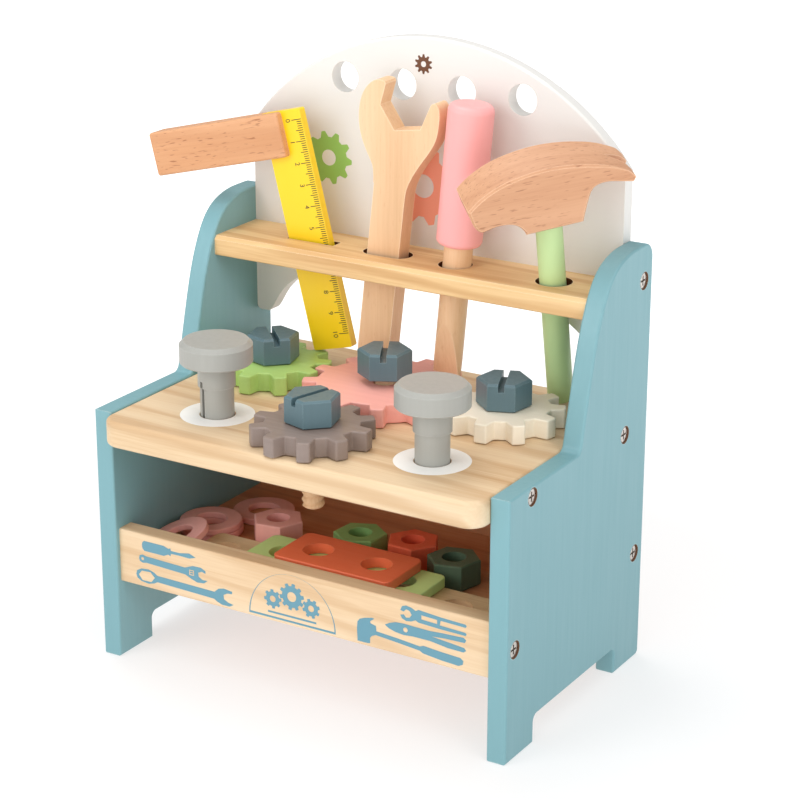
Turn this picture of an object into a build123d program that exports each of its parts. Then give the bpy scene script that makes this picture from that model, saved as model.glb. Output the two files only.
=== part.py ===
from build123d import *
import os
from math import sin, cos, tan, atan, atan2, radians, degrees, sqrt, pi

os.makedirs("parts", exist_ok=True)

# ---------------------------------------------------------------------------
# Toy tool bench. Millimetres, +Z up. Bench frame while building:
# x = 0 is the mid-plane between the side panels, y = 0 their front edges
# (+Y towards the back), z = 0 the floor. Every part is moved at the end so the
# origin is the middle of the bottom of the overall bounding box.
# ---------------------------------------------------------------------------

# side panels
half_in = 95.17          # inner face of a side panel
panel_t = 9.13
half_out = half_in + panel_t
panel_depth = 126.0
step_h = 118.2           # height of the low front part
top_h = 195.6
foot_y0, foot_y1, foot_h = 24.6, 100.9, 12.35
edge_r = 1.0

# screws
screw_pos = [(118.0, 179.5), (104.1, 113.3), (19.5, 113.5), (118.0, 52.5), (6.7, 50.4)]
screw_head_r, screw_head_h, screw_sink = 3.9, 2.2, 0.7
screw_r, screw_into = 1.9, 16.0
cbore_r, cbore_d = 4.05, 2.9
pilot_r = 1.92

# worktop
wt_y0, wt_y1, wt_z0, wt_z1 = -9.3, 131.5, 105.7, 117.9
nose_r = 9.0

# tool shelf
sh_y0, sh_y1, sh_z0, sh_z1 = 80.95, 114.6, 169.9, 179.2

# back panel
bp_y0, bp_t = 114.6, 7.4
arc_R, arc_top = 119.6, 274.6
hang_r, hang_z = 7.0, 252.2
hang_x = [-45.2, -15.1, 15.0, 45.1]

# tray
lip_y0, lip_y1, lip_z0, lip_z1 = 2.55, 11.65, 36.55, 62.13
fl_z0, fl_z1 = 37.0, 46.3
tb_y0, tb_y1, tb_z0, tb_z1 = 113.9, 123.0, 36.6, 105.5

# gears: name -> centre, teeth, outer r, root r, tip width, root floor width, phase of one tooth
gear_z0, gear_t, gear_bore = 118.2, 8.7, 5.07
gears = {
    "lime_gear":  ((-61.0, 76.8), 10, 27.0, 20.8, 5.8, 5.0, 22.8),
    "pink_gear":  ((-1.2, 76.8), 12, 37.0, 30.8, 6.0, 8.5, 176.0),
    "taupe_gear": ((-0.4, 16.8), 10, 27.0, 20.8, 5.8, 5.0, 6.6),
    "cream_gear": ((58.8, 77.3), 10, 27.0, 20.8, 5.8, 5.0, 24.6),
}
# bolts: gear -> head underside z, angle of one corner, angle of the slot
bolt_r, bolt_len, bolt_head_R, bolt_head_h = 5.0, 39.2, 12.2, 12.3
slot_w, slot_d = 2.8, 3.5
bolts = {
    "lime":  ("lime_gear", 127.2, -76.0, 134.0),
    "pink":  ("pink_gear", 130.2, -32.5, 117.5),
    "taupe": ("taupe_gear", 127.2, -16.0, 74.0),
    "cream": ("cream_gear", 127.2, -38.3, 111.7),
}

# pegs
peg_pos = {"left_peg": ((-54.6, 23.6), 71.0), "right_peg": ((54.6, 23.6), 30.0)}
peg_slit_w, peg_slit_z = 1.8, 134.5
peg_z0, peg_step_z, peg_neck_z, peg_z1 = 104.5, 131.5, 142.0, 152.3
peg_r, peg_r2, peg_head_r, peg_hole_r = 7.5, 8.3, 16.1, 7.85

# hanging tools
tool_y = 98.0
rest_gear_z = 127.25     # lowest point of the tools that stand over the gears


def save(p, label):
    """Move a finished sub-part into the common origin and write it."""
    q = p.moved(Location((-shift_x, -shift_y, 0)))
    q.label = label
    export_step(q, f"parts/{label}.step")
    print(label, "vol %.1f" % (q.volume,), "solids", len(q.solids()))


made = {}

# ------------------------------------------------------------- side panels
def side_outline():
    with BuildLine() as l:
        Polyline((0, 0), (0, step_h), (58.7, step_h))
        inner = JernArc(start=(58.7, step_h), tangent=(1, 0), radius=3.6, arc_size=77)
        Spline(inner @ 1, (65.9, 135.7), (71.6, 157.1), (74.4, 165.7),
               (79.4, 177.1), (85.6, 186.4), (92.3, 191.6), (101.0, 194.6), (112.0, top_h),
               tangents=(inner % 1, (1, 0)))
        Line((112.0, top_h), (119.0, top_h))
        RadiusArc((119.0, top_h), (panel_depth, top_h - 7.0), 7.0)
        Polyline((panel_depth, top_h - 7.0), (panel_depth, 2.5))
        RadiusArc((panel_depth, 2.5), (panel_depth - 2.5, 0), 2.5)
        Line((panel_depth - 2.5, 0), (foot_y1, 0))
        Line((foot_y1, 0), (foot_y1, foot_h - 3.0))
        RadiusArc((foot_y1, foot_h - 3.0), (foot_y1 - 3.0, foot_h), -3.0)
        Line((foot_y1 - 3.0, foot_h), (foot_y0 + 3.0, foot_h))
        RadiusArc((foot_y0 + 3.0, foot_h), (foot_y0, foot_h - 3.0), -3.0)
        Polyline((foot_y0, foot_h - 3.0), (foot_y0, 0), (0, 0))
    return l


for name, x0, sgn in (("left_side_panel", -half_out, -1), ("right_side_panel", half_in, 1)):
    with BuildPart() as panel:
        with BuildSketch(Plane.YZ.offset(x0)):
            with BuildLine():
                add(side_outline().line)
            make_face()
        extrude(amount=panel_t)
        big = panel.faces().filter_by(Axis.X).sort_by(SortBy.AREA)[-2:]
        fillet([e for f in big for e in f.edges()], radius=edge_r)
        # stepped screw holes: head recess from the outside, shank hole through
        for (sy, sz) in screw_pos:
            with Locations(Plane(origin=(sgn * half_out, sy, sz), z_dir=(sgn, 0, 0))):
                CounterBoreHole(radius=pilot_r, counter_bore_radius=cbore_r,
                                counter_bore_depth=cbore_d, depth=panel_t)
    made[name] = panel.part

# ---------------------------------------------------------------- screws
for name, sgn in (("left_panel_screws", -1), ("right_panel_screws", 1)):
    with BuildPart() as screws:
        for (sy, sz) in screw_pos:
            pl = Plane(origin=(sgn * (half_out - screw_sink), sy, sz), z_dir=(-sgn, 0, 0))
            with BuildSketch(pl):
                Circle(screw_head_r)
            extrude(amount=screw_head_h)
            with BuildSketch(pl.offset(screw_head_h)):
                Circle(screw_r)
            extrude(amount=panel_t + screw_into - screw_sink - screw_head_h)
            # domed rim and cross recess
            with BuildSketch(pl):
                Rectangle(4.4, 0.9)
                Rectangle(0.9, 4.4)
            extrude(amount=1.3, mode=Mode.SUBTRACT)
    made[name] = screws.part


def drill_ends(positions):
    """Blind pilot holes from both ends along X for the side screws."""
    for (sy, sz) in positions:
        for sgn in (-1, 1):
            with Locations(Plane(origin=(sgn * half_in, sy, sz), z_dir=(sgn, 0, 0))):
                Hole(radius=pilot_r, depth=screw_into + 1.0)


# ---------------------------------------------------------------- worktop
with BuildPart() as worktop:
    with BuildSketch(Plane.XY.offset(wt_z0)):
        with Locations((0, (wt_y0 + wt_y1) / 2)):
            Rectangle(2 * half_in, wt_y1 - wt_y0)
    extrude(amount=wt_z1 - wt_z0)
    vert = worktop.edges().filter_by(Axis.Z)
    fillet(vert.group_by(Axis.Y)[0], radius=nose_r)
    fillet(worktop.edges().filter_by(Axis.Z).group_by(Axis.Y)[-1], radius=3.0)
    long_edges = [e for e in worktop.edges() if e.center().Y < wt_y0 + 9.1 or e.center().Y > wt_y1 - 3.05]
    long_edges = [e for e in long_edges if abs(e.center().Z - wt_z0) < 0.01 or abs(e.center().Z - wt_z1) < 0.01]
    fillet(long_edges, radius=2.0)
    for c in gears.values():
        with Locations((c[0][0], c[0][1], wt_z1)):
            Hole(radius=gear_bore, depth=wt_z1 - wt_z0)
    for (c, a) in peg_pos.values():
        with Locations((c[0], c[1], wt_z1)):
            Hole(radius=peg_hole_r, depth=wt_z1 - wt_z0)
    drill_ends(screw_pos[1:3])
made["worktop"] = worktop.part

# -------------------------------------------------------------- tool shelf
with BuildPart() as shelf:
    with BuildSketch(Plane.XY.offset(sh_z0)):
        with Locations((0, (sh_y0 + sh_y1) / 2)):
            Rectangle(2 * half_in, sh_y1 - sh_y0)
    extrude(amount=sh_z1 - sh_z0)
    front = shelf.edges().filter_by(Axis.X).group_by(Axis.Y)[0]
    chamfer(front.sort_by(Axis.Z)[-1:], length=1.6)
    fillet(shelf.edges().filter_by(Axis.X).group_by(Axis.Y)[0].sort_by(Axis.Z)[:1], radius=1.0)
    with BuildSketch(Plane.XY.offset(sh_z0)):
        with Locations((-52.05, tool_y)):
            Rectangle(24.9, 6.4)
        with Locations((-12.5, tool_y)):
            SlotOverall(24.0, 12.4)
        with Locations((22.2, tool_y)):
            Circle(7.6)
        with Locations((71.0, tool_y)):
            Circle(8.1)
    extrude(amount=sh_z1 - sh_z0, mode=Mode.SUBTRACT)
made["tool_shelf"] = shelf.part

# -------------------------------------------------------------- back panel
arc_cz = arc_top - arc_R
arc_side_z = arc_cz + sqrt(arc_R**2 - half_in**2)
with BuildPart() as back_panel:
    with BuildSketch(Plane(origin=(0, bp_y0, 0), x_dir=(1, 0, 0), z_dir=(0, -1, 0))):
        with BuildLine():
            ThreePointArc((-half_in, arc_side_z), (0, arc_top), (half_in, arc_side_z))
            Line((half_in, arc_side_z), (half_in, 138.0))
            RadiusArc((half_in, 138.0), (half_in - 2.6, 135.4), 2.6)
            Line((half_in - 2.6, 135.4), (88.3, 135.5))
            Spline((88.3, 135.5), (86.2, 138.0), (84.0, 141.8), (81.4, 145.8), (78.4, 149.2), (75.0, 152.2), (70.0, 155.7),
                   (62.0, 161.0), (52.0, 167.0), (40.0, 171.0), tangents=((-0.7, 0.6), (-1, 0)))
            Line((40.0, 171.0), (-40.0, 171.0))
            Spline((-40.0, 171.0), (-52.0, 167.0), (-62.0, 161.0), (-70.0, 155.7), (-75.0, 152.2), (-78.4, 149.2),
                   (-81.4, 145.8), (-84.0, 141.8), (-86.2, 138.0), (-88.3, 135.5), tangents=((-1, 0), (-0.7, -0.6)))
            Line((-88.3, 135.5), (-(half_in - 2.6), 135.4))
            RadiusArc((-(half_in - 2.6), 135.4), (-half_in, 138.0), 2.6)
            Line((-half_in, 138.0), (-half_in, arc_side_z))
        make_face()
    extrude(amount=-bp_t)
    rim = [e for e in back_panel.edges() if e.center().Z > arc_side_z + 1 and abs(e.center().X) < 5]
    fillet(rim, radius=1.2)
    for hx in hang_x:
        with Locations(Plane(origin=(hx, bp_y0, hang_z), z_dir=(0, -1, 0))):
            Hole(radius=hang_r, depth=bp_t)
    drill_ends(screw_pos[0:1])
made["back_panel"] = back_panel.part

# ---------------------------------------------------------------- tray
with BuildPart() as lip:
    with BuildSketch(Plane.XY.offset(lip_z0)):
        with Locations((0, (lip_y0 + lip_y1) / 2)):
            Rectangle(2 * half_in, lip_y1 - lip_y0)
    extrude(amount=lip_z1 - lip_z0)
    fillet(lip.edges().filter_by(Axis.X), radius=0.8)
    drill_ends(screw_pos[4:5])
made["tray_front_board"] = lip.part

with BuildPart() as tray_floor:
    with BuildSketch(Plane.XY.offset(fl_z0)):
        with Locations((0, (lip_y1 + tb_y0) / 2)):
            Rectangle(2 * half_in, tb_y0 - lip_y1)
    extrude(amount=fl_z1 - fl_z0)
made["tray_floor"] = tray_floor.part

with BuildPart() as tray_back:
    with BuildSketch(Plane.XY.offset(tb_z0)):
        with Locations((0, (tb_y0 + tb_y1) / 2)):
            Rectangle(2 * half_in, tb_y1 - tb_y0)
    extrude(amount=tb_z1 - tb_z0)
    drill_ends(screw_pos[3:4])
made["tray_back_board"] = tray_back.part

# ---------------------------------------------------------------- gears
def gear_points(n, ro, rr, tip_w, floor_w, phase):
    pitch = 360.0 / n
    ta = degrees(tip_w / 2 / ro)
    ra = degrees(floor_w / 2 / rr)
    pts = []
    for i in range(n):
        c = phase + i * pitch
        for a, r in ((c - pitch / 2 + ra, rr), (c - ta, ro), (c, ro), (c + ta, ro), (c + pitch / 2 - ra, rr), (c + pitch / 2, rr)):
            pts.append((r * cos(radians(a)), r * sin(radians(a))))
    return pts


for name, (c, n, ro, rr, tip_w, floor_w, phase) in gears.items():
    with BuildPart() as gear:
        with BuildSketch(Plane.XY.offset(gear_z0)):
            with Locations(c):
                Polygon(*gear_points(n, ro, rr, tip_w, floor_w, phase), align=None)
        extrude(amount=gear_t)
        tips = [e for e in gear.edges().filter_by(Axis.Z)
                if sqrt((e.center().X - c[0])**2 + (e.center().Y - c[1])**2) > ro - 0.05]
        # round only the two corners of each tip, not the mid-point of its land
        corner = []
        for e in tips:
            a = degrees(atan2(e.center().Y - c[1], e.center().X - c[0])) - phase
            a = (a + 180.0 / n) % (360.0 / n) - 180.0 / n
            if abs(a) > 1.0:
                corner.append(e)
        fillet(corner, radius=1.1)
        with Locations((c[0], c[1], gear_z0 + gear_t)):
            Hole(radius=gear_bore, depth=gear_t)
    made[name] = gear.part

# ---------------------------------------------------------------- bolts
for name, (g, z0, corner_a, slot_a) in bolts.items():
    c = gears[g][0]
    with BuildPart() as head:
        with BuildSketch(Plane.XY.offset(z0)):
            with Locations(c):
                RegularPolygon(bolt_head_R, 6, rotation=corner_a)
        extrude(amount=bolt_head_h)
        chamfer(head.faces().sort_by(Axis.Z)[-1].edges(), length=0.9)
        chamfer(head.faces().sort_by(Axis.Z)[0].edges(), length=0.5)
        with BuildSketch(Plane.XY.offset(z0 + bolt_head_h - slot_d)):
            with Locations(c):
                Rectangle(3 * bolt_head_R, slot_w, rotation=slot_a)
        extrude(amount=slot_d + 1, mode=Mode.SUBTRACT)
        with Locations((c[0], c[1], z0)):
            Cylinder(bolt_r + 0.01, 6.02, align=(Align.CENTER, Align.CENTER, Align.MIN), mode=Mode.SUBTRACT)
    made[name + "_bolt_head"] = head.part
    with BuildPart() as shank:
        with BuildSketch(Plane.XY.offset(z0 + 6.0)):
            with Locations(c):
                Circle(bolt_r)
        extrude(amount=-(bolt_len + 6.0))
        chamfer(shank.faces().sort_by(Axis.Z)[0].edges(), length=1.0)
    made[name + "_bolt_shank"] = shank.part

# ---------------------------------------------------------------- pegs
for name, (c, slit_a) in peg_pos.items():
    with BuildPart() as peg:
        with BuildSketch(Plane(origin=(c[0], c[1], 0), x_dir=(1, 0, 0), z_dir=(0, -1, 0))):
            with BuildLine():
                Polyline((0, peg_z0), (peg_r - 1.0, peg_z0), (peg_r, peg_z0 + 1.0), (peg_r, peg_step_z),
                         (peg_r2, peg_step_z), (peg_r2, peg_neck_z), (peg_head_r - 0.7, peg_neck_z),
                         (peg_head_r, peg_neck_z + 0.7), (peg_head_r, peg_z1 - 1.9), (peg_head_r - 1.9, peg_z1),
                         (0, peg_z1), (0, peg_z0))
            make_face()
        revolve(axis=Axis((c[0], c[1], 0), (0, 0, 1)), revolution_arc=360)
        with BuildSketch(Plane.XY.offset(peg_z0)):
            with Locations(c):
                Rectangle(3 * peg_r, peg_slit_w, rotation=slit_a)
        extrude(amount=peg_slit_z - peg_z0, mode=Mode.SUBTRACT)
    made[name] = peg.part

# ------------------------------------------------------------- try square
sq_t = atan(0.255)
sq = Plane(origin=(-58.0, tool_y, sh_z1), x_dir=(cos(sq_t), 0, sin(sq_t)), z_dir=(0, -1, 0))
blade_x0, blade_x1, blade_s1, blade_th = -6.0, 15.2, 59.0, 4.2
blade_s0 = (rest_gear_z - sh_z1 - sin(sq_t) * blade_x0) / cos(sq_t)
with BuildPart() as blade:
    with BuildSketch(sq.offset(-blade_th / 2)):
        with Locations(((blade_x0 + blade_x1) / 2, (blade_s0 + blade_s1) / 2)):
            Rectangle(blade_x1 - blade_x0, blade_s1 - blade_s0)
    extrude(amount=blade_th)
    fillet(blade.edges().filter_by(Axis.Y), radius=1.0)
made["square_blade"] = blade.part
stock_x0, stock_x1, stock_s0, stock_s1, stock_th = -69.3, 4.8, 38.4, 58.8, 12.0
with BuildPart() as stock:
    with BuildSketch(sq.offset(-stock_th / 2)):
        with Locations(((stock_x0 + stock_x1) / 2, (stock_s0 + stock_s1) / 2)):
            Rectangle(stock_x1 - stock_x0, stock_s1 - stock_s0)
    extrude(amount=stock_th)
    fillet(stock.edges(), radius=1.2)
    # slot the blade is glued into
    with BuildSketch(sq.offset(-(blade_th / 2 + 0.01))):
        with Locations(((blade_x0 - 0.02 + 40) / 2, (stock_s0 + stock_s1) / 2)):
            Rectangle(40 - blade_x0 + 0.02, 60)
    extrude(amount=blade_th + 0.02, mode=Mode.SUBTRACT)
made["square_stock"] = stock.part

# ---------------------------------------------------------------- wrench
wr_t = atan(-0.113)
wr = Plane(origin=(-12.5, tool_y, sh_z1), x_dir=(cos(wr_t), 0, sin(wr_t)), z_dir=(0, -1, 0))
wr_th = 9.0
wr_s0 = (rest_gear_z - sh_z1 - sin(wr_t) * 8.2) / cos(wr_t)
with BuildPart() as wrench:
    with BuildSketch(wr.offset(-wr_th / 2)):
        with BuildLine():
            Polyline((-8.2, 27.0), (-8.2, wr_s0), (8.1, wr_s0), (8.1, 25.0))
            Spline((8.1, 25.0), (8.5, 32.5), (10.4, 38.4), (14.2, 45.8), (18.7, 53.8), (20.9, 60.8), (21.1, 66.5), (20.8, 70.0),
                   tangents=((0, 1), (-0.15, 1)))
            Spline((20.8, 70.0), (19.9, 72.6), (17.8, 73.9), (16.0, 72.4), tangents=((-0.15, 1), (-0.35, -1)))
            Polyline((16.0, 72.4), (12.2, 61.1), (-0.6, 57.8), (-8.9, 67.5), (-7.2, 77.2), (-7.9, 78.3), (-9.8, 78.5))
            Spline((-9.8, 78.5), (-13.8, 77.1), (-16.9, 73.6), (-18.7, 69.4), (-19.4, 64.4), (-18.9, 57.6), (-17.4, 52.5), (-14.4, 46.6), (-11.3, 42.0),
                   (-9.3, 37.4), (-8.4, 32.3), (-8.2, 27.0), tangents=((-1, 0), (0, -1)))
        make_face()
    extrude(amount=wr_th)
made["wrench"] = wrench.part

# ----------------------------------------------------------- screwdriver
dr_t = atan(-0.09)
dr = Plane(origin=(23.0, tool_y, sh_z1), x_dir=(cos(dr_t), 0, sin(dr_t)), z_dir=(0, -1, 0))
dr_axis = (-sin(dr_t), 0, cos(dr_t))
dr_hr, dr_sr = 10.2, 6.4
dr_h0, dr_h1 = 9.8, 73.0
dr_s0 = (rest_gear_z - sh_z1 + 0.9) / cos(dr_t)
with BuildPart() as driver_handle:
    with BuildSketch(dr):
        with BuildLine():
            Polyline((0, dr_h0), (dr_hr - 2.2, dr_h0))
            RadiusArc((dr_hr - 2.2, dr_h0), (dr_hr, dr_h0 + 2.2), -2.2)
            Line((dr_hr, dr_h0 + 2.2), (dr_hr, dr_h1 - 3.2))
            RadiusArc((dr_hr, dr_h1 - 3.2), (dr_hr - 3.2, dr_h1), -3.2)
            Polyline((dr_hr - 3.2, dr_h1), (0, dr_h1), (0, dr_h0))
        make_face()
    revolve(axis=Axis((23.0, tool_y, sh_z1), dr_axis), revolution_arc=360)
    with BuildSketch(Plane(origin=(23.0 + dr_axis[0] * dr_h0, tool_y, sh_z1 + dr_axis[2] * dr_h0), z_dir=dr_axis)):
        Circle(dr_sr + 0.01)
    extrude(amount=18.02, mode=Mode.SUBTRACT)
made["screwdriver_handle"] = driver_handle.part
with BuildPart() as driver_shaft:
    with BuildSketch(Plane(origin=(23.0 + dr_axis[0] * dr_s0, tool_y, sh_z1 + dr_axis[2] * dr_s0), z_dir=dr_axis)):
        Circle(dr_sr)
    extrude(amount=dr_h0 + 18.0 - dr_s0)
    # flattened wedge tip: two sloping cuts
    for sgn in (-1, 1):
        with BuildSketch(Plane(origin=(23.0, tool_y, sh_z1), x_dir=(0, 1, 0), z_dir=(1, 0, 0)).offset(-30)):
            Polygon((sgn * 1.3, dr_s0 - 3), (sgn * 1.3, dr_s0), (sgn * 6.6, dr_s0 + 26), (sgn * 9, dr_s0 + 26), (sgn * 9, dr_s0 - 3), align=None)
        extrude(amount=60, mode=Mode.SUBTRACT)
made["screwdriver_shaft"] = driver_shaft.part

# ---------------------------------------------------------------- hammer
def unit(v):
    m = sqrt(sum(a * a for a in v))
    return tuple(a / m for a in v)


def cross(a, b):
    return (a[1] * b[2] - a[2] * b[1], a[2] * b[0] - a[0] * b[2], a[0] * b[1] - a[1] * b[0])


ham_O = (71.0, 96.9, sh_z1)
ham_e = unit((0.060, -0.286, 0.955))
ham_yaw = 42.0           # angle of the head's length from +X in plan
w0 = (-sin(radians(ham_yaw)), cos(radians(ham_yaw)), 0)
d = sum(a * b for a, b in zip(w0, ham_e))
ham_w = unit(tuple(a - d * b for a, b in zip(w0, ham_e)))
ham_h = cross(ham_w, ham_e)
ham_pl = Plane(origin=ham_O, x_dir=ham_h, z_dir=tuple(-a for a in ham_w))
ham_th = 22.0
ham_handle_r, ham_s0, ham_s1 = 5.8, -61.3, 52.0


def ham_pt(hh, ss):
    return tuple(o + hh * a + ss * b for o, a, b in zip(ham_O, ham_h, ham_e))


with BuildPart() as hammer_head:
    with BuildSketch(ham_pl.offset(-ham_th / 2)):
        with BuildLine():
            Polyline((-34.9, 43.6), (-36.2, 48.9))
            Spline((-36.2, 48.9), (-30.8, 53.6), (-23.0, 57.9), (-13.5, 60.7), (-3.0, 62.1), (9.0, 61.6), (18.0, 59.9),
                   (26.0, 57.3), (32.0, 54.2), (36.2, 49.9), tangents=((0.68, 0.73), (0.6, -0.8)))
            Polyline((36.2, 49.9), (35.2, 48.0))
            Spline((35.2, 48.0), (28.4, 49.5), (22.4, 50.3), (18.0, 48.9), (15.3, 43.8), (12.5, 33.6),
                   tangents=((-0.98, 0.2), (-0.25, -1)))
            Polyline((12.5, 33.6), (-12.3, 32.6))
            Spline((-12.3, 32.6), (-14.2, 36.2), (-17.4, 38.6), (-22.8, 39.4), (-30.2, 38.0),
                   tangents=((-0.3, 1), (-1, -0.25)))
            Spline((-30.2, 38.0), (-33.2, 39.8), (-34.9, 43.6), tangents=((-1, -0.25), (-0.24, 1)))
        make_face()
    extrude(amount=ham_th)
    big = hammer_head.faces().sort_by(SortBy.AREA)[-2:]
    big = [f for f in hammer_head.faces().filter_by(GeomType.PLANE)
           if abs(abs(f.normal_at().dot(Vector(*ham_w))) - 1) < 1e-4]
    chamfer([e for f in big for e in f.edges()], length=0.9)
    # claw notch
    with BuildSketch(Plane(origin=ham_O, x_dir=ham_h, z_dir=ham_e).offset(30)):
        Polygon((25.5, 0), (38.5, -4.6), (38.5, 4.6), align=None)
    extrude(amount=40, mode=Mode.SUBTRACT)
    # prongs taper towards their tips
    for sgn in (-1, 1):
        with BuildSketch(Plane(origin=ham_O, x_dir=ham_h, z_dir=ham_e).offset(30)):
            Polygon((20.0, sgn * (ham_th / 2)), (38.5, sgn * (ham_th / 2 - 1.2)), (38.5, sgn * 14), (20.0, sgn * 14), align=None)
        extrude(amount=40, mode=Mode.SUBTRACT)
    with BuildSketch(Plane(origin=ham_pt(0, ham_s0), z_dir=ham_e)):
        Circle(ham_handle_r + 0.01)
    extrude(amount=ham_s1 - ham_s0 + 0.02, mode=Mode.SUBTRACT)
made["hammer_head"] = hammer_head.part
with BuildPart() as hammer_handle:
    with BuildSketch(Plane(origin=ham_pt(0, ham_s0), z_dir=ham_e)):
        Circle(ham_handle_r)
    extrude(amount=ham_s1 - ham_s0)
    ends = hammer_handle.edges().filter_by(GeomType.CIRCLE)
    low = sorted(ends, key=lambda e: e.center().Z)[0]
    fillet([low], radius=1.5)
made["hammer_handle"] = hammer_handle.part

# ---------------------------------------------------------- loose pieces
def strip(x0, x1, y0, z0, z1, holes, hole_y, hole_r=7.0):
    with BuildPart() as s:
        with BuildSketch(Plane.XY.offset(z0)):
            with Locations(((x0 + x1) / 2, y0 + 15.0)):
                RectangleRounded(x1 - x0, 30.0, 3.5)
            for hx in holes:
                with Locations((hx, hole_y)):
                    Circle(hole_r, mode=Mode.SUBTRACT)
        extrude(amount=z1 - z0)
        outer = [e for e in s.edges() if (abs(e.center().Z - z0) < 1e-3 or abs(e.center().Z - z1) < 1e-3)
                 and not (e.geom_type == GeomType.CIRCLE and abs(e.radius - hole_r) < 1e-3)]
        fillet(outer, radius=0.6)
    return s.part


made["long_link_plate"] = strip(-69.5, 79.0, 14.0, 46.5, 51.3, [-56.7, -26.7, 3.3, 33.3, 63.3], 29.0, 7.4)
made["green_link_plate"] = strip(-40.0, 50.0, 15.5, 51.6, 56.3, [-25.0, 5.0, 35.0], 30.5)
made["red_link_plate"] = strip(-22.0, 38.0, 15.5, 56.6, 61.3, [-7.0, 23.0], 30.5)

nuts = {
    "pink_nut": ((-46.7, 57.8), 7.6, 12.3),
    "green_nut": ((-5.6, 62.9), 24.4, 12.3),
    "red_nut": ((19.0, 68.0), 56.7, 12.4),
    "dark_green_nut": ((44.3, 60.7), 15.0, 12.2),
}
for name, (c, a, r) in nuts.items():
    with BuildPart() as nut:
        with BuildSketch(Plane.XY.offset(46.55)):
            with Locations(c):
                RegularPolygon(r, 6, rotation=a)
                Circle(5.4, mode=Mode.SUBTRACT)
        extrude(amount=11.8)
        rims = [e for e in nut.edges() if e.geom_type == GeomType.LINE and
                (abs(e.center().Z - 46.55) < 1e-3 or abs(e.center().Z - 58.35) < 1e-3)]
        chamfer(rims, length=0.5)
    made[name] = nut.part

# washers: centre of the top face, its normal; the front one leans on the upper one
washers = {
    "back_washer": ((-70.6, 81.2, 49.55), (0, 0, 1)),
    "lower_washer": ((-80.2, 52.6, 49.55), (0, 0, 1)),
    "upper_washer": ((-80.3, 52.0, 52.85), (0, 0, 1)),
    "front_washer": ((-80.7, 26.1, 54.6), (-0.254, -0.213, 0.943)),
}
for name, (c, up) in washers.items():
    with BuildPart() as washer:
        with BuildSketch(Plane(origin=c, z_dir=up)):
            Circle(14.5)
            Circle(7.4, mode=Mode.SUBTRACT)
        extrude(amount=-3.0)
        fillet(washer.edges(), radius=0.5)
    made[name] = washer.part

# --------------------------------------------------------- common origin
lo = [1e9, 1e9]
hi = [-1e9, -1e9]
for p in made.values():
    b = p.bounding_box()
    lo = [min(lo[0], b.min.X), min(lo[1], b.min.Y)]
    hi = [max(hi[0], b.max.X), max(hi[1], b.max.Y)]
shift_x = (lo[0] + hi[0]) / 2
shift_y = (lo[1] + hi[1]) / 2
print("bench frame bounds x %.3f %.3f  y %.3f %.3f" % (lo[0], hi[0], lo[1], hi[1]))
print("shift %.6f %.6f" % (shift_x, shift_y))
print("hammer e", ham_e, "h", ham_h, "w", ham_w)
print("blade s0 %.3f wrench s0 %.3f driver s0 %.3f" % (blade_s0, wr_s0, dr_s0))

for name, p in made.items():
    save(p, name)
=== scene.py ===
import bpy
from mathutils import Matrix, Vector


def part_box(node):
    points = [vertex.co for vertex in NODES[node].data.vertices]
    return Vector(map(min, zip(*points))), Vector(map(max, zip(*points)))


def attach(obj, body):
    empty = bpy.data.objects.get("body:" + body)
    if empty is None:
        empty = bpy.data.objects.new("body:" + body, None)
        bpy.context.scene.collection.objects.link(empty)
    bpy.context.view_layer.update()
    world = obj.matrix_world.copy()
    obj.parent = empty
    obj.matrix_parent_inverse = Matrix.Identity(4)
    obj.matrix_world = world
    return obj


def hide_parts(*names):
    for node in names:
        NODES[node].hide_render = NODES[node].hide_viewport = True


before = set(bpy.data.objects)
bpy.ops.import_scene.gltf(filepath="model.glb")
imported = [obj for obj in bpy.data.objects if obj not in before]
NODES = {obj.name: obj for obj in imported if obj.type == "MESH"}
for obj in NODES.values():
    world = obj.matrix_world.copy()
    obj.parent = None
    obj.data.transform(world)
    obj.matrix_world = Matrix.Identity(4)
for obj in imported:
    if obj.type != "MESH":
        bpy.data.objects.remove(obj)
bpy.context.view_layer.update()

import bpy, bmesh, math
from math import sin, cos, pi, radians, sqrt
from mathutils import Vector, Matrix

# ---------------------------------------------------------------- bench frame
# mm; x = 0 is the mid-plane of the bench, y = 0 the front edges of the panels, z = 0 the floor
_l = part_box("left_side_panel")
_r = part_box("right_side_panel")
OX = (_l[0].x + _r[1].x) / 2
OY = _l[0].y
HALF_OUT = (_r[1].x - _l[0].x) / 2 * 1000
HALF_IN = (_r[0].x - OX) * 1000


def B(x, y, z):
    return Vector((OX + x / 1000, OY + y / 1000, z / 1000))


def top_of(node):
    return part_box(node)[1].z * 1000


# ---------------------------------------------------------------- materials
def lin(c):
    """sRGB 0-255 to linear"""
    out = []
    for v in c:
        v = v / 255
        out.append(v / 12.92 if v <= 0.04045 else ((v + 0.055) / 1.055) ** 2.4)
    return (*out, 1.0)


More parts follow.
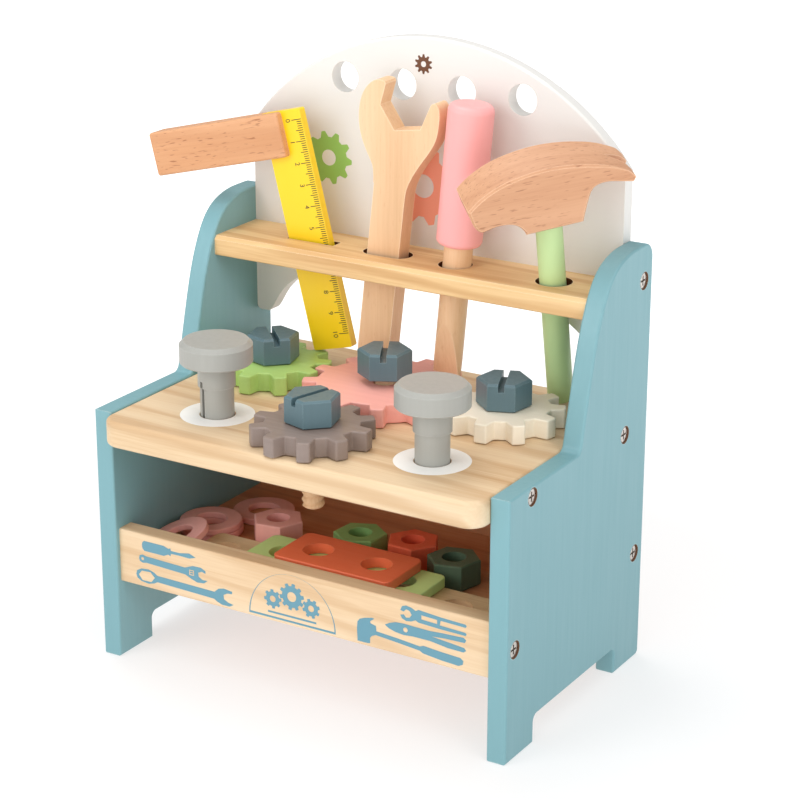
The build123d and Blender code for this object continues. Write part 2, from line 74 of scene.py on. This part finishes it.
class Tree:
    def __init__(self, name):
        self.m = bpy.data.materials.new(name)
        self.m.use_nodes = True
        self.n = self.m.node_tree.nodes
        self.l = self.m.node_tree.links
        self.b = self.n["Principled BSDF"]

    def new(self, kind, **kw):
        nd = self.n.new(kind)
        for k, v in kw.items():
            setattr(nd, k, v)
        return nd

    def link(self, a, b):
        self.l.new(a, b)

    def coords(self, scale=(1, 1, 1), rot=(0, 0, 0), loc=(0, 0, 0)):
        t = self.new("ShaderNodeTexCoord")
        mp = self.new("ShaderNodeMapping", vector_type="TEXTURE")
        mp.inputs["Scale"].default_value = [1 / c for c in scale]
        mp.inputs["Rotation"].default_value = rot
        mp.inputs["Location"].default_value = loc
        self.link(t.outputs["Object"], mp.inputs["Vector"])
        return mp.outputs["Vector"]

    def noise(self, vec, scale=5.0, detail=3.0, rough=0.5, dist=0.0):
        t = self.new("ShaderNodeTexNoise")
        t.inputs["Scale"].default_value = scale
        t.inputs["Detail"].default_value = detail
        t.inputs["Roughness"].default_value = rough
        t.inputs["Distortion"].default_value = dist
        self.link(vec, t.inputs["Vector"])
        return t.outputs["Fac"]

    def ramp(self, fac, stops, interp="LINEAR"):
        r = self.new("ShaderNodeValToRGB")
        r.color_ramp.interpolation = interp
        e = r.color_ramp.elements
        e[0].position, e[0].color = stops[0]
        e[1].position, e[1].color = stops[-1]
        for p, c in stops[1:-1]:
            x = e.new(p)
            x.color = c
        self.link(fac, r.inputs["Fac"])
        return r.outputs["Color"]

    def value_ramp(self, fac, a, b, lo=0.0, hi=1.0):
        r = self.new("ShaderNodeMapRange")
        r.inputs["From Min"].default_value = a
        r.inputs["From Max"].default_value = b
        r.inputs["To Min"].default_value = lo
        r.inputs["To Max"].default_value = hi
        self.link(fac, r.inputs["Value"])
        return r.outputs["Result"]

    def mix(self, fac, a, b, mode="MIX"):
        m = self.new("ShaderNodeMix", data_type="RGBA", blend_type=mode)
        if hasattr(fac, "is_linked") or hasattr(fac, "node"):
            self.link(fac, m.inputs["Factor"])
        else:
            m.inputs["Factor"].default_value = fac
        for s, v in ((m.inputs[6], a), (m.inputs[7], b)):
            if hasattr(v, "node"):
                self.link(v, s)
            else:
                s.default_value = v
        return m.outputs[2]

    def mul(self, a, b, op="MULTIPLY"):
        m = self.new("ShaderNodeMath", operation=op)
        for s, v in ((m.inputs[0], a), (m.inputs[1], b)):
            if hasattr(v, "node"):
                self.link(v, s)
            else:
                s.default_value = v
        return m.outputs[0]

    def edge_mask(self, radius):
        """1 on sharp outer edges, 0 on flats: how far a rounded normal leans from the true one."""
        bv = self.new("ShaderNodeBevel", samples=6)
        bv.inputs["Radius"].default_value = radius
        ge = self.new("ShaderNodeNewGeometry")
        d = self.new("ShaderNodeVectorMath", operation="DOT_PRODUCT")
        self.link(bv.outputs["Normal"], d.inputs[0])
        self.link(ge.outputs["Normal"], d.inputs[1])
        return self.value_ramp(d.outputs["Value"], 0.995, 0.90, 0.0, 1.0)

    def bump(self, height, strength=0.2, dist=0.0003):
        b = self.new("ShaderNodeBump")
        b.inputs["Strength"].default_value = strength
        b.inputs["Distance"].default_value = dist
        self.link(height, b.inputs["Height"])
        self.link(b.outputs["Normal"], self.b.inputs["Normal"])

    def done(self, color=None, rough=0.5, spec=0.5, metal=0.0, coat=0.0):
        if color is not None:
            if hasattr(color, "node"):
                self.link(color, self.b.inputs["Base Color"])
            else:
                self.b.inputs["Base Color"].default_value = color
        if hasattr(rough, "node"):
            self.link(rough, self.b.inputs["Roughness"])
        else:
            self.b.inputs["Roughness"].default_value = rough
        self.b.inputs["Specular IOR Level"].default_value = spec
        self.b.inputs["Metallic"].default_value = metal
        self.b.inputs["Coat Weight"].default_value = coat
        return self.m


AX = {"x": 0, "y": 1, "z": 2}


def stretch(axis, long=1.0, across=1.0):
    s = [across, across, across]
    s[AX[axis]] = long
    return tuple(s)


def wood(name, light, mid, dark, axis="x", rot=(0, 0, 0), loc=(0, 0, 0), flecks=0.0, rings=0.5,
         scale=1.0, rough=0.5, fleck_col=None, painted_edge_highlight=None, ring_gap=1.0, spec=0.35):
    """bare wood: stretched growth lines, fine pores and, for beech, short dark flecks, with an optional painted
    highlight on sharp edges
    """
    t = Tree(name)
    v = t.coords(stretch(axis, 0.09, 1.0), rot, loc)
    warp = t.noise(v, 55 * scale, 2, 0.5)
    wv = t.new("ShaderNodeTexWave", wave_type="BANDS", bands_direction="DIAGONAL", wave_profile="SIN")
    wv.inputs["Scale"].default_value = 42 * scale * ring_gap
    wv.inputs["Distortion"].default_value = 7.0
    wv.inputs["Detail"].default_value = 3.0
    wv.inputs["Detail Scale"].default_value = 1.2
    t.link(v, wv.inputs["Vector"])
    fine = t.noise(t.coords(stretch(axis, 0.035, 1.0), rot, loc), 900 * scale, 3, 0.6)
    broad = t.noise(t.coords(stretch(axis, 0.12, 1.0), rot, loc), 28 * scale, 2, 0.5)
    ringf = t.mul(t.value_ramp(wv.outputs["Fac"], 0.55, 1.0), rings)
    f = t.mul(t.mul(t.mul(warp, 0.45), t.mul(broad, 0.35), "ADD"), t.mul(fine, 0.25), "ADD")
    col = t.ramp(f, [(0.34, light), (0.55, mid), (0.78, dark)])
    col = t.mix(ringf, col, dark)
    if flecks:
        fl = t.noise(t.coords(stretch(axis, 0.15, 1.0), rot, loc), 1400 * scale, 1, 0.4)
        mask = t.mul(t.value_ramp(fl, 0.64, 0.74), flecks)
        col = t.mix(mask, col, fleck_col or dark)
    # painted highlight: sharp outer edges are mixed toward a lighter colour
    if painted_edge_highlight:
        col = t.mix(t.mul(t.edge_mask(0.0008), 0.7), col, painted_edge_highlight)
    t.bump(t.mul(fine, 0.5, "ADD"), 0.10, 0.0002)
    r = t.value_ramp(fine, 0.3, 0.7, rough - 0.05, rough + 0.06)
    return t.done(col, r, spec)


def paint(name, col, worn=None, wear=0.5, axis="z", rough=0.42, grain=0.06, shade=None, radius=0.0009,
          coat=0.0, streak=0.05, spec=0.45, rot=(0, 0, 0)):
    """thin paint over wood: faint brush streaks along the grain and edges rubbed lighter"""
    t = Tree(name)
    dark = shade or tuple([c * 0.80 for c in col[:3]] + [1.0])
    lite = tuple([min(1.0, c * 1.12) for c in col[:3]] + [1.0])
    v = t.coords(stretch(axis, 0.05, 1.0), rot)
    s1 = t.noise(v, 420, 3, 0.6)
    s2 = t.noise(t.coords((1, 1, 1), rot), 30, 3, 0.55)
    c = t.mix(t.mul(t.value_ramp(s1, 0.35, 0.75), grain * 2.2), col, dark)
    c = t.mix(t.mul(t.value_ramp(s2, 0.35, 0.75), streak * 2.0), c, lite)
    if worn is not None:
        m = t.edge_mask(radius)
        n = t.value_ramp(t.noise(t.coords((1, 1, 1)), 260, 4, 0.65), 0.30, 0.62)
        c = t.mix(t.mul(t.mul(m, n), wear), c, worn)
    t.bump(t.mul(t.mul(s1, 0.7), t.mul(t.noise(t.coords((1, 1, 1)), 700, 2, 0.5), 0.3), "ADD"), 0.12, 0.0003)
    r = t.value_ramp(s1, 0.3, 0.7, rough - 0.04, rough + 0.08)
    return t.done(c, r, spec, coat=coat)


def flat(name, col, rough=0.5, spec=0.4):
    t = Tree(name)
    n = t.noise(t.coords((1, 1, 1)), 350, 3, 0.6)
    c = t.mix(t.mul(t.value_ramp(n, 0.3, 0.8), 0.10), col, tuple([x * 0.8 for x in col[:3]] + [1.0]))
    return t.done(c, rough, spec)


PINE_L, PINE_M, PINE_D = lin((246, 226, 192)), lin((237, 211, 170)), lin((214, 176, 126))
M = {}
M["pine_top"] = wood("pine_top", lin((236, 214, 182)), lin((226, 198, 160)), lin((194, 152, 106)), "x", rings=0.5, ring_gap=0.8)
M["pine_shelf"] = wood("pine_shelf", lin((246, 216, 168)), lin((236, 200, 146)), lin((200, 148, 92)), "x", loc=(0.3, 0.1, 0.2), rings=0.50,
                        painted_edge_highlight=lin((252, 232, 196)))
M["pine_lip"] = wood("pine_lip", lin((240, 216, 184)), lin((230, 200, 162)), lin((202, 160, 114)), "x", loc=(0.7, 0.4, 0.1), rings=0.38)
M["pine_plate"] = wood("pine_plate", lin((250, 226, 188)), lin((242, 212, 168)), lin((214, 170, 122)), "x", loc=(0.1, 0.9, 0.5), rings=0.2)
M["tray"] = wood("tray", lin((228, 170, 128)), lin((212, 146, 104)), lin((170, 106, 70)), "x", loc=(0.5, 0.2, 0.3), rings=0.3)
M["plain"] = wood("plain", lin((242, 208, 170)), lin((236, 196, 154)), lin((216, 172, 128)), "z", loc=(0.2, 0.2, 0.6), rings=0.12,
                  flecks=0.30, fleck_col=lin((214, 160, 118)), painted_edge_highlight=lin((252, 228, 196)))
M["beech_x"] = wood("beech_x", lin((226, 172, 130)), lin((214, 156, 112)), lin((184, 122, 80)), "x", rot=(0, radians(-14.3), 0),
                    flecks=0.75, fleck_col=lin((158, 98, 62)), rings=0.2, painted_edge_highlight=lin((246, 200, 160)))
M["beech_h"] = wood("beech_h", lin((222, 172, 136)), lin((208, 156, 120)), lin((184, 126, 92)), "x", rot=(0, radians(-8.7), radians(42)),
                    flecks=0.7, fleck_col=lin((160, 104, 72)), rings=0.2, painted_edge_highlight=lin((252, 216, 180)))
M["thread"] = wood("thread", lin((236, 206, 170)), lin((222, 186, 146)), lin((190, 146, 104)), "z", rings=0.1)
# painted shade colour for the walls inside the shelf openings
M["painted_hole_shade"] = flat("painted_hole_shade", lin((92, 52, 28)), 0.8, 0.2)

TEAL = lin((124, 170, 178))
M["panel"] = paint("panel", TEAL, lin((196, 214, 208)), 0.55, "z", rough=0.38, grain=0.05)
M["white"] = paint("white", lin((230, 228, 224)), lin((236, 226, 208)), 0.25, "x", rough=0.45, grain=0.02, streak=0.02)
M["lime"] = paint("lime", lin((180, 216, 124)), lin((206, 228, 158)), 0.4, "x", grain=0.12)
M["coral"] = paint("coral", lin((254, 182, 170)), lin((254, 208, 194)), 0.5, "x", grain=0.12)
M["taupe"] = paint("taupe", lin((142, 126, 118)), lin((182, 164, 150)), 0.5, "x", grain=0.14)
M["cream"] = paint("cream", lin((250, 240, 220)), lin((252, 247, 234)), 0.4, "x", grain=0.08)
M["slate"] = paint("slate", lin((90, 116, 124)), lin((134, 158, 164)), 0.45, "z", rough=0.36, grain=0.10)
M["peg"] = paint("peg", lin((166, 166, 160)), lin((204, 205, 202)), 0.4, "z", rough=0.40, grain=0.08)
M["yellow"] = paint("yellow", lin((252, 212, 26)), lin((255, 236, 110)), 0.3, "z", rough=0.33, grain=0.02, streak=0.02)
M["pink"] = paint("pink", lin((252, 174, 172)), None, 0, "z", rough=0.40, grain=0.03)
M["mint"] = paint("mint", lin((198, 226, 164)), None, 0, "z", rough=0.42, grain=0.05)
M["red"] = paint("red", lin((248, 122, 82)), lin((246, 156, 116)), 0.35, "x", rough=0.40, grain=0.05)
M["leaf"] = paint("leaf", lin((216, 250, 164)), lin((230, 252, 190)), 0.35, "x", rough=0.42, grain=0.06)
M["nut_pink"] = paint("nut_pink", lin((255, 186, 178)), lin((255, 210, 202)), 0.4, "z", rough=0.42, grain=0.10)
M["nut_green"] = paint("nut_green", lin((146, 194, 120)), lin((178, 214, 152)), 0.4, "z", rough=0.42, grain=0.10)
M["nut_red"] = paint("nut_red", lin((254, 112, 78)), lin((255, 156, 124)), 0.4, "z", rough=0.42, grain=0.10)
M["nut_dark"] = paint("nut_dark", lin((92, 116, 94)), lin((124, 148, 122)), 0.4, "z", rough=0.42, grain=0.14)


def steel():
    t = Tree("steel")
    n = t.noise(t.coords((1, 1, 1)), 900, 3, 0.6)
    c = t.mix(t.value_ramp(n, 0.3, 0.8), lin((222, 216, 210)), lin((176, 168, 160)))
    return t.done(c, t.value_ramp(n, 0.3, 0.7, 0.22, 0.36), 0.5, metal=1.0)


M["steel"] = steel()
M["raw_wood"] = flat("raw_wood", lin((116, 82, 62)), 0.85, 0.15)
M["print_blue"] = flat("print_blue", lin((104, 154, 172)), 0.5)
M["print_green"] = flat("print_green", lin((150, 196, 98)), 0.5)
M["print_coral"] = flat("print_coral", lin((252, 168, 142)), 0.5)
M["print_brown"] = flat("print_brown", lin((108, 68, 44)), 0.5)
M["print_white"] = flat("print_white", lin((252, 251, 247)), 0.5)
M["print_black"] = flat("print_black", lin((40, 38, 34)), 0.5)

USE = {
    "left_side_panel": "panel", "right_side_panel": "panel", "left_panel_screws": "steel", "right_panel_screws": "steel",
    "worktop": "pine_top", "tool_shelf": "pine_shelf", "back_panel": "white", "tray_front_board": "pine_lip",
    "tray_floor": "tray", "tray_back_board": "tray", "lime_gear": "lime", "pink_gear": "coral", "taupe_gear": "taupe",
    "cream_gear": "cream", "left_peg": "peg", "right_peg": "peg", "square_blade": "yellow", "square_stock": "beech_x",
    "wrench": "plain", "screwdriver_handle": "pink", "screwdriver_shaft": "plain", "hammer_head": "beech_h",
    "hammer_handle": "mint", "long_link_plate": "pine_plate", "green_link_plate": "leaf", "red_link_plate": "red",
    "pink_nut": "nut_pink", "green_nut": "nut_green", "red_nut": "nut_red", "dark_green_nut": "nut_dark",
    "back_washer": "nut_pink", "lower_washer": "nut_pink", "upper_washer": "nut_pink", "front_washer": "nut_pink",
}
for n in ("lime", "pink", "taupe", "cream"):
    USE[n + "_bolt_head"] = "slate"
    USE[n + "_bolt_shank"] = "thread"
for node, mat in USE.items():
    ob = NODES[node]
    ob.data.materials.clear()
    ob.data.materials.append(M[mat])


def smooth(ob, deg=32):
    """smooth shading, with sharp edges kept where faces meet at more than deg"""
    me = ob.data
    bm = bmesh.new()
    bm.from_mesh(me)
    sharp = []
    for e in bm.edges:
        if len(e.link_faces) == 2:
            e_ang = e.calc_face_angle(0.0)
            sharp.append(e_ang > radians(deg))
        else:
            sharp.append(True)
    bm.free()
    me.polygons.foreach_set("use_smooth", [True] * len(me.polygons))
    at = me.attributes.get("sharp_edge") or me.attributes.new("sharp_edge", "BOOLEAN", "EDGE")
    if len(sharp) == len(me.edges):
        at.data.foreach_set("value", sharp)
    me.update()


def bevel(ob, width, seg=2, deg=35):
    """tidy the triangulated flats, then round the edges"""
    w = ob.modifiers.new("weld", "WELD")
    w.merge_threshold = 0.000002
    d = ob.modifiers.new("flats", "DECIMATE")
    d.decimate_type = "DISSOLVE"
    d.angle_limit = radians(1.5)
    b = ob.modifiers.new("bevel", "BEVEL")
    b.width = width
    b.segments = seg
    b.limit_method = "ANGLE"
    b.angle_limit = radians(deg)
    b.miter_outer = "MITER_ARC"
    b.loop_slide = False
    b.harden_normals = False
    ob.modifiers.new("normals", "WEIGHTED_NORMAL").keep_sharp = True


for node, ob in NODES.items():
    smooth(ob)
for node, wdt in (("lime_gear", 0.6), ("pink_gear", 0.6), ("taupe_gear", 0.6), ("cream_gear", 0.6)):
    bevel(NODES[node], wdt / 1000, 3)

EXTRA = []


def own(ob, body, mat):
    if mat is not None:
        ob.data.materials.clear()
        ob.data.materials.append(M[mat] if isinstance(mat, str) else mat)
    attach(ob, body)
    EXTRA.append(ob)
    return ob


# ---------------------------------------------------------------- prints
def plane_matrix(origin, ux, uy):
    ux = Vector(ux).normalized()
    uy = Vector(uy).normalized()
    n = ux.cross(uy)
    m = Matrix.Identity(4)
    for i in range(3):
        m[i][0], m[i][1], m[i][2], m[i][3] = ux[i], uy[i], n[i], origin[i]
    return m


PRINT_T = 0.00003


def print_shape(name, loops, mat, body, matrix, lift=0.00004, thick=PRINT_T):
    """thin layer of ink: closed loops in mm on a plane, inner loops are holes"""
    cu = bpy.data.curves.new(name, "CURVE")
    cu.dimensions = "2D"
    cu.fill_mode = "BOTH"
    cu.extrude = thick / 2
    for pts in loops:
        sp = cu.splines.new("POLY")
        sp.points.add(len(pts) - 1)
        for p, (x, y) in zip(sp.points, pts):
            p.co = (x / 1000, y / 1000, 0, 1)
        sp.use_cyclic_u = True
    tmp = bpy.data.objects.new(name + "_curve", cu)
    bpy.context.scene.collection.objects.link(tmp)
    dg = bpy.context.evaluated_depsgraph_get()
    me = bpy.data.meshes.new_from_object(tmp.evaluated_get(dg))
    bpy.data.objects.remove(tmp)
    me.transform(matrix @ Matrix.Translation((0, 0, lift)))
    me.name = name
    ob = bpy.data.objects.new(name, me)
    bpy.context.scene.collection.objects.link(ob)
    return own(ob, body, mat)


def arc(cx, cy, r, a0, a1, n=32, ry=None):
    ry = ry or r
    return [(cx + r * cos(radians(a0 + (a1 - a0) * i / n)), cy + ry * sin(radians(a0 + (a1 - a0) * i / n))) for i in range(n + 1)]


def ring(cx, cy, r, n=48, ry=None):
    return arc(cx, cy, r, 0, 360 - 360 / n, n - 1, ry)


def gear_loop(cx, cy, ro, rr, n, phase=0.0, tip=0.42, root=0.40):
    p = 360 / n
    pts = []
    for i in range(n):
        c = phase + i * p
        for a, r in ((-p * root / 2 - p * (1 - root) / 2, rr), (-p / 2 + p * root / 2, rr), (-p * tip / 2, ro), (0, ro * 1.005), (p * tip / 2, ro), (p / 2 - p * root / 2, rr)):
            if abs(a) > p / 2:
                continue
            pts.append((cx + r * cos(radians(c + a)), cy + r * sin(radians(c + a))))
    return pts


def px(*pts):
    """points measured on a 7-per-mm grid over the board's face"""
    return [((x - 735) / 7, 60 - (y - 70) / 7) for x, y in pts]


LIP = plane_matrix(B(0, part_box("tray_front_board")[0].y * 1000 - OY * 1000, 0), (1, 0, 0), (0, 0, 1))
BACK = plane_matrix(B(0, (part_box("back_panel")[0].y - OY) * 1000, 0), (1, 0, 0), (0, 0, 1))

print_shape("print_screwdriver", [px((156, 92), (158, 82), (165, 76), (240, 76), (258, 82), (266, 79), (268, 87), (300, 87), (338, 80), (362, 89),
            (338, 97), (300, 96), (268, 97), (266, 106), (258, 102), (240, 110), (165, 110), (158, 103))], "print_blue", "bench", LIP)
print_shape("print_adjustable_wrench", [px((143, 138), (146, 128), (157, 124), (172, 127), (320, 131), (332, 126), (350, 119), (380, 118), (398, 126), (398, 135),
            (384, 131), (370, 137), (372, 150), (386, 158), (405, 157), (392, 168), (366, 171), (344, 164), (320, 154), (172, 149), (157, 152), (146, 148)),
            [(x, y) for x, y in ring(*px((157, 138))[0], 0.75)], px((336, 134), (354, 134), (354, 152), (336, 152))], "print_blue", "bench", LIP)
print_shape("print_adjuster", [px((339, 137), (351, 137), (351, 141), (339, 141)), px((339, 144), (351, 144), (351, 149), (339, 149))], "print_blue", "bench", LIP)
print_shape("print_spanner", [px((130, 195), (134, 182), (150, 173), (178, 170), (200, 176), (212, 184), (430, 187), (446, 173), (466, 168), (497, 172), (496, 180),
            (478, 182), (464, 190), (466, 204), (482, 212), (501, 215), (486, 224), (458, 224), (440, 218), (428, 211), (212, 206), (200, 213), (178, 219), (150, 216), (134, 207)),
            px((140, 195), (152, 180), (186, 178), (202, 194), (188, 211), (154, 212))], "print_blue", "bench", LIP)
# half-round badge: outline, three plain gears and a rule
cx, cz, R = -2.7, 38.1, 22.4
print_shape("print_badge_outline", [arc(cx, cz, R, 0, 180, 64), arc(cx, cz + 0.55, R - 0.6, 1.0, 179.0, 64)], "print_blue", "bench", LIP)
print_shape("print_badge_gears", [gear_loop(cx, 50.4, 6.3, 5.0, 10, 9), ring(cx, 50.4, 2.3), gear_loop(cx - 9.9, 47.2, 4.5, 3.5, 8, 5), ring(cx - 9.9, 47.2, 1.5),
            gear_loop(cx + 9.9, 47.2, 4.5, 3.5, 8, 17), ring(cx + 9.9, 47.2, 1.5)], "print_blue", "bench", LIP)
print_shape("print_badge_rule", [[(cx - 12.5, 41.4), (cx + 12.5, 41.4), (cx + 12.5, 40.5), (cx - 12.5, 40.5)]], "print_blue", "bench", LIP)
# right group: pincers, pliers, hammer
print_shape("print_pincers", [px((1098, 88), (1104, 74), (1118, 69), (1136, 72), (1150, 79), (1160, 73), (1235, 79), (1318, 82), (1322, 87), (1318, 92), (1235, 90), (1232, 105),
            (1318, 108), (1322, 113), (1318, 118), (1235, 117), (1160, 114), (1150, 109), (1136, 116), (1118, 119), (1104, 113), (1098, 103), (1110, 99), (1118, 108), (1130, 105),
            (1137, 95), (1130, 84), (1118, 81), (1110, 90)), px((1170, 88), (1223, 90), (1223, 103), (1170, 101))], "print_blue", "bench", LIP)
print_shape("print_pliers", [px((1045, 148), (1060, 139), (1082, 131), (1110, 129), (1140, 130), (1200, 131), (1240, 128), (1312, 125), (1321, 132), (1316, 141), (1250, 143), (1205, 147),
            (1250, 151), (1314, 157), (1321, 165), (1312, 172), (1260, 171), (1200, 163), (1140, 163), (1110, 166), (1082, 163), (1060, 157)), ring(*px((1116, 148))[0], 1.1)], "print_blue", "bench", LIP)
print_shape("print_hammer", [px((948, 182), (950, 160), (958, 150), (975, 143), (1000, 137), (1009, 138), (994, 150), (996, 156), (1014, 160), (1016, 177), (1090, 182), (1165, 189), (1178, 184),
            (1240, 189), (1302, 192), (1312, 200), (1310, 212), (1296, 219), (1240, 216), (1176, 209), (1165, 203), (1090, 196), (1014, 190), (1000, 196), (994, 204), (994, 221), (984, 223), (950, 223))],
            "print_blue", "bench", LIP)

# gears printed on the back panel
print_shape("print_gear_green", [gear_loop(-54.2, 214.0, 12.3, 9.7, 10, -4, 0.26, 0.30), ring(-54.2, 214.0, 3.7)], "print_green", "bench", BACK)
print_shape("print_gear_coral", [gear_loop(-4.2, 207.4, 17.9, 14.2, 10, -4, 0.26, 0.30), ring(-4.2, 207.4, 5.4)], "print_coral", "bench", BACK)
print_shape("print_gear_brown", [gear_loop(-4.4, 262.4, 4.4, 3.2, 10, 18, 0.30, 0.30), ring(-4.4, 262.4, 1.3)], "print_brown", "bench", BACK)

# bare wood on the walls of the screw recesses
for side, node, face in ((-1, "left_side_panel", 0), (1, "right_side_panel", 1)):
    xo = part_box(node)[face].x
    for i, (sy, sz) in enumerate(((118.0, 179.5), (104.1, 113.3), (19.5, 113.5), (118.0, 52.5), (6.7, 50.4))):
        c = B(0, sy, sz)
        c = (xo - side * 0.00040, c[1], c[2])
        pl = plane_matrix(c, (0, 1, 0), (0, 0, 1))
        print_shape("recess_" + ("l" if side < 0 else "r") + str(i), [ring(0, 0, 4.03, 64), ring(0, 0, 3.62, 64)], "raw_wood", "bench", pl, 0.0, 0.00054)

# white rings round the pegs
WT = plane_matrix(B(0, 0, top_of("worktop")), (1, 0, 0), (0, 1, 0))
for side, node in ((-1, "left_peg"), (1, "right_peg")):
    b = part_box(node)
    cxm = ((b[0].x + b[1].x) / 2 - OX) * 1000
    cym = ((b[0].y + b[1].y) / 2 - OY) * 1000
    print_shape("print_ring_" + node, [ring(cxm, cym, 16.5, 96), ring(cxm, cym, 8.05, 64)], "print_white", "bench", WT)

# ---------------------------------------------------------------- blade scale
TH = math.atan(0.255)
SQ = plane_matrix(B(-58.0, 98.0 - 2.1, 179.2), (cos(TH), 0, sin(TH)), (-sin(TH), 0, cos(TH)))
ticks = []
X1 = 15.2
for i in range(0, 101):
    s = 54.1 - i * 0.995
    ln = 5.2 if i % 10 == 0 else (3.9 if i % 5 == 0 else 2.6)
    ticks.append([(X1 - ln - 0.3, s - 0.17), (X1 - 0.3, s - 0.17), (X1 - 0.3, s + 0.17), (X1 - ln - 0.3, s + 0.17)])
print_shape("print_scale", ticks, "print_black", "try_square", SQ)
for i in range(11):
    cu = bpy.data.curves.new("digit_%d" % i, "FONT")
    cu.body = str(i)
    cu.size = 0.0035
    cu.extrude = PRINT_T / 2
    cu.align_x = "CENTER"
    cu.align_y = "CENTER"
    tmp = bpy.data.objects.new("digit_%d_text" % i, cu)
    bpy.context.scene.collection.objects.link(tmp)
    dg = bpy.context.evaluated_depsgraph_get()
    me = bpy.data.meshes.new_from_object(tmp.evaluated_get(dg))
    bpy.data.objects.remove(tmp)
    s = 54.1 - i * 9.95
    me.transform(SQ @ Matrix.Translation(((X1 - 7.6) / 1000, s / 1000, 0.00004)) @ Matrix.Rotation(radians(-90), 4, "Z"))
    ob = bpy.data.objects.new("print_digit_%d" % i, me)
    bpy.context.scene.collection.objects.link(ob)
    own(ob, "try_square", "print_black")

# ---------------------------------------------------------------- bolt threads
def threaded_shank(node, body):
    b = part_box(node)
    cxm = ((b[0].x + b[1].x) / 2)
    cym = ((b[0].y + b[1].y) / 2)
    z0, z1 = b[0].z, b[1].z
    pitch, r1, r0, na = 0.0034, 0.00495, 0.0041, 48
    nz = int((z1 - z0) / pitch * 10)
    vs, fs = [], []
    for j in range(nz + 1):
        z = z0 + (z1 - z0) * j / nz
        for i in range(na):
            a = 2 * pi * i / na
            ph = ((z - z0) / pitch - i / na) % 1.0
            k = 0.5 - 0.5 * cos(2 * pi * ph)
            k = k ** 0.7
            r = r0 + (r1 - r0) * k
            end = min(1.0, (z - z0) / 0.0012)
            r = min(r, r0 - 0.0006 + 0.0016 * end)
            vs.append((cxm + r * cos(a), cym + r * sin(a), z))
    for j in range(nz):
        for i in range(na):
            k = (i + 1) % na
            fs.append((j * na + i, j * na + k, (j + 1) * na + k, (j + 1) * na + i))
    fs.append(tuple(reversed(range(na))))
    fs.append(tuple(nz * na + i for i in range(na)))
    me = bpy.data.meshes.new(node + "_thread")
    me.from_pydata(vs, [], fs)
    ob = bpy.data.objects.new(node + "_thread", me)
    bpy.context.scene.collection.objects.link(ob)
    own(ob, body, "thread")
    smooth(ob, 50)
    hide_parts(node)
    return ob


for n in ("lime", "pink", "taupe", "cream"):
    threaded_shank(n + "_bolt_shank", n + "_bolt")

# painted shade: the cut walls inside the shelf openings get a dark brown
sh = NODES["tool_shelf"]
sh.data.materials.append(M["painted_hole_shade"])
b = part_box("tool_shelf")
for p in sh.data.polygons:
    c = p.center
    if abs(p.normal.z) < 0.3 and b[0].y + 0.004 < c.y < b[1].y - 0.004 and abs(c.x - OX) < 0.09:
        p.material_index = 1

# ---------------------------------------------------------------- stage
def quad(name, pts, mat):
    me = bpy.data.meshes.new(name)
    me.from_pydata(pts, [], [tuple(range(len(pts)))])
    ob = bpy.data.objects.new(name, me)
    bpy.context.scene.collection.objects.link(ob)
    ob.data.materials.append(mat)
    return ob


t = Tree("floor_white")
t.b.inputs["Emission Color"].default_value = (1, 1, 1, 1)
# white sweep that glows a little more away from the bench, so that only its shadow shows
far = t.new("ShaderNodeVectorMath", operation="LENGTH")
t.link(t.coords((1, 1, 0.001)), far.inputs[0])
t.link(t.value_ramp(far.outputs["Value"], 0.22, 0.62, 0.60, 1.0), t.b.inputs["Emission Strength"])
floor_mat = t.done((0.42, 0.42, 0.42, 1), 0.95, 0.0)
quad("floor", [(-60, -60, -0.0002), (60, -60, -0.0002), (60, 60, -0.0002), (-60, 60, -0.0002)], floor_mat)

w = bpy.data.worlds.new("studio")
bpy.context.scene.world = w
w.use_nodes = True
w.node_tree.nodes["Background"].inputs[0].default_value = (1, 1, 1, 1)
w.node_tree.nodes["Background"].inputs[1].default_value = 0.42


def area(name, loc, target, size, power, size_y=None):
    li = bpy.data.lights.new(name, "AREA")
    li.shape = "RECTANGLE"
    li.size = size
    li.size_y = size_y or size
    li.energy = power
    ob = bpy.data.objects.new(name, li)
    bpy.context.scene.collection.objects.link(ob)
    ob.location = loc
    d = (Vector(target) - Vector(loc)).normalized()
    ob.rotation_mode = "QUATERNION"
    ob.rotation_quaternion = d.to_track_quat("-Z", "Y")
    return ob


mid = B(0, 60, 120)
area("key", B(-700, -1250, 850), mid, 0.9, 8.2)
area("fill", B(1500, -500, 850), mid, 1.1, 7.0)
area("back", B(-450, 350, 1500), mid, 0.7, 7.5)
area("top", B(300, -400, 1450), mid, 1.4, 7.0)
area("front", B(350, -1300, 260), mid, 0.8, 3.0)

# ---------------------------------------------------------------- camera
yaw, pitch, roll = radians(31.107), radians(19.697), radians(0.12)
fwd = Vector((-sin(yaw) * cos(pitch), cos(yaw) * cos(pitch), -sin(pitch)))
right = Vector((cos(yaw), sin(yaw), 0))
up = right.cross(fwd)
r2 = cos(roll) * right + sin(roll) * up
u2 = -sin(roll) * right + cos(roll) * up
cam = bpy.data.cameras.new("camera")
cam.lens = 106.67
cam.sensor_width = 36.0
cam.dof.use_dof = False
cam.clip_start = 0.01
cam.clip_end = 20
co = bpy.data.objects.new("camera", cam)
bpy.context.scene.collection.objects.link(co)
m = Matrix.Identity(4)
pos = B(518.45, -771.3, 474.15)
for i in range(3):
    m[i][0], m[i][1], m[i][2], m[i][3] = r2[i], u2[i], -fwd[i], pos[i]
co.matrix_world = m
bpy.context.scene.camera = co
bpy.context.scene.view_settings.view_transform = "Standard"
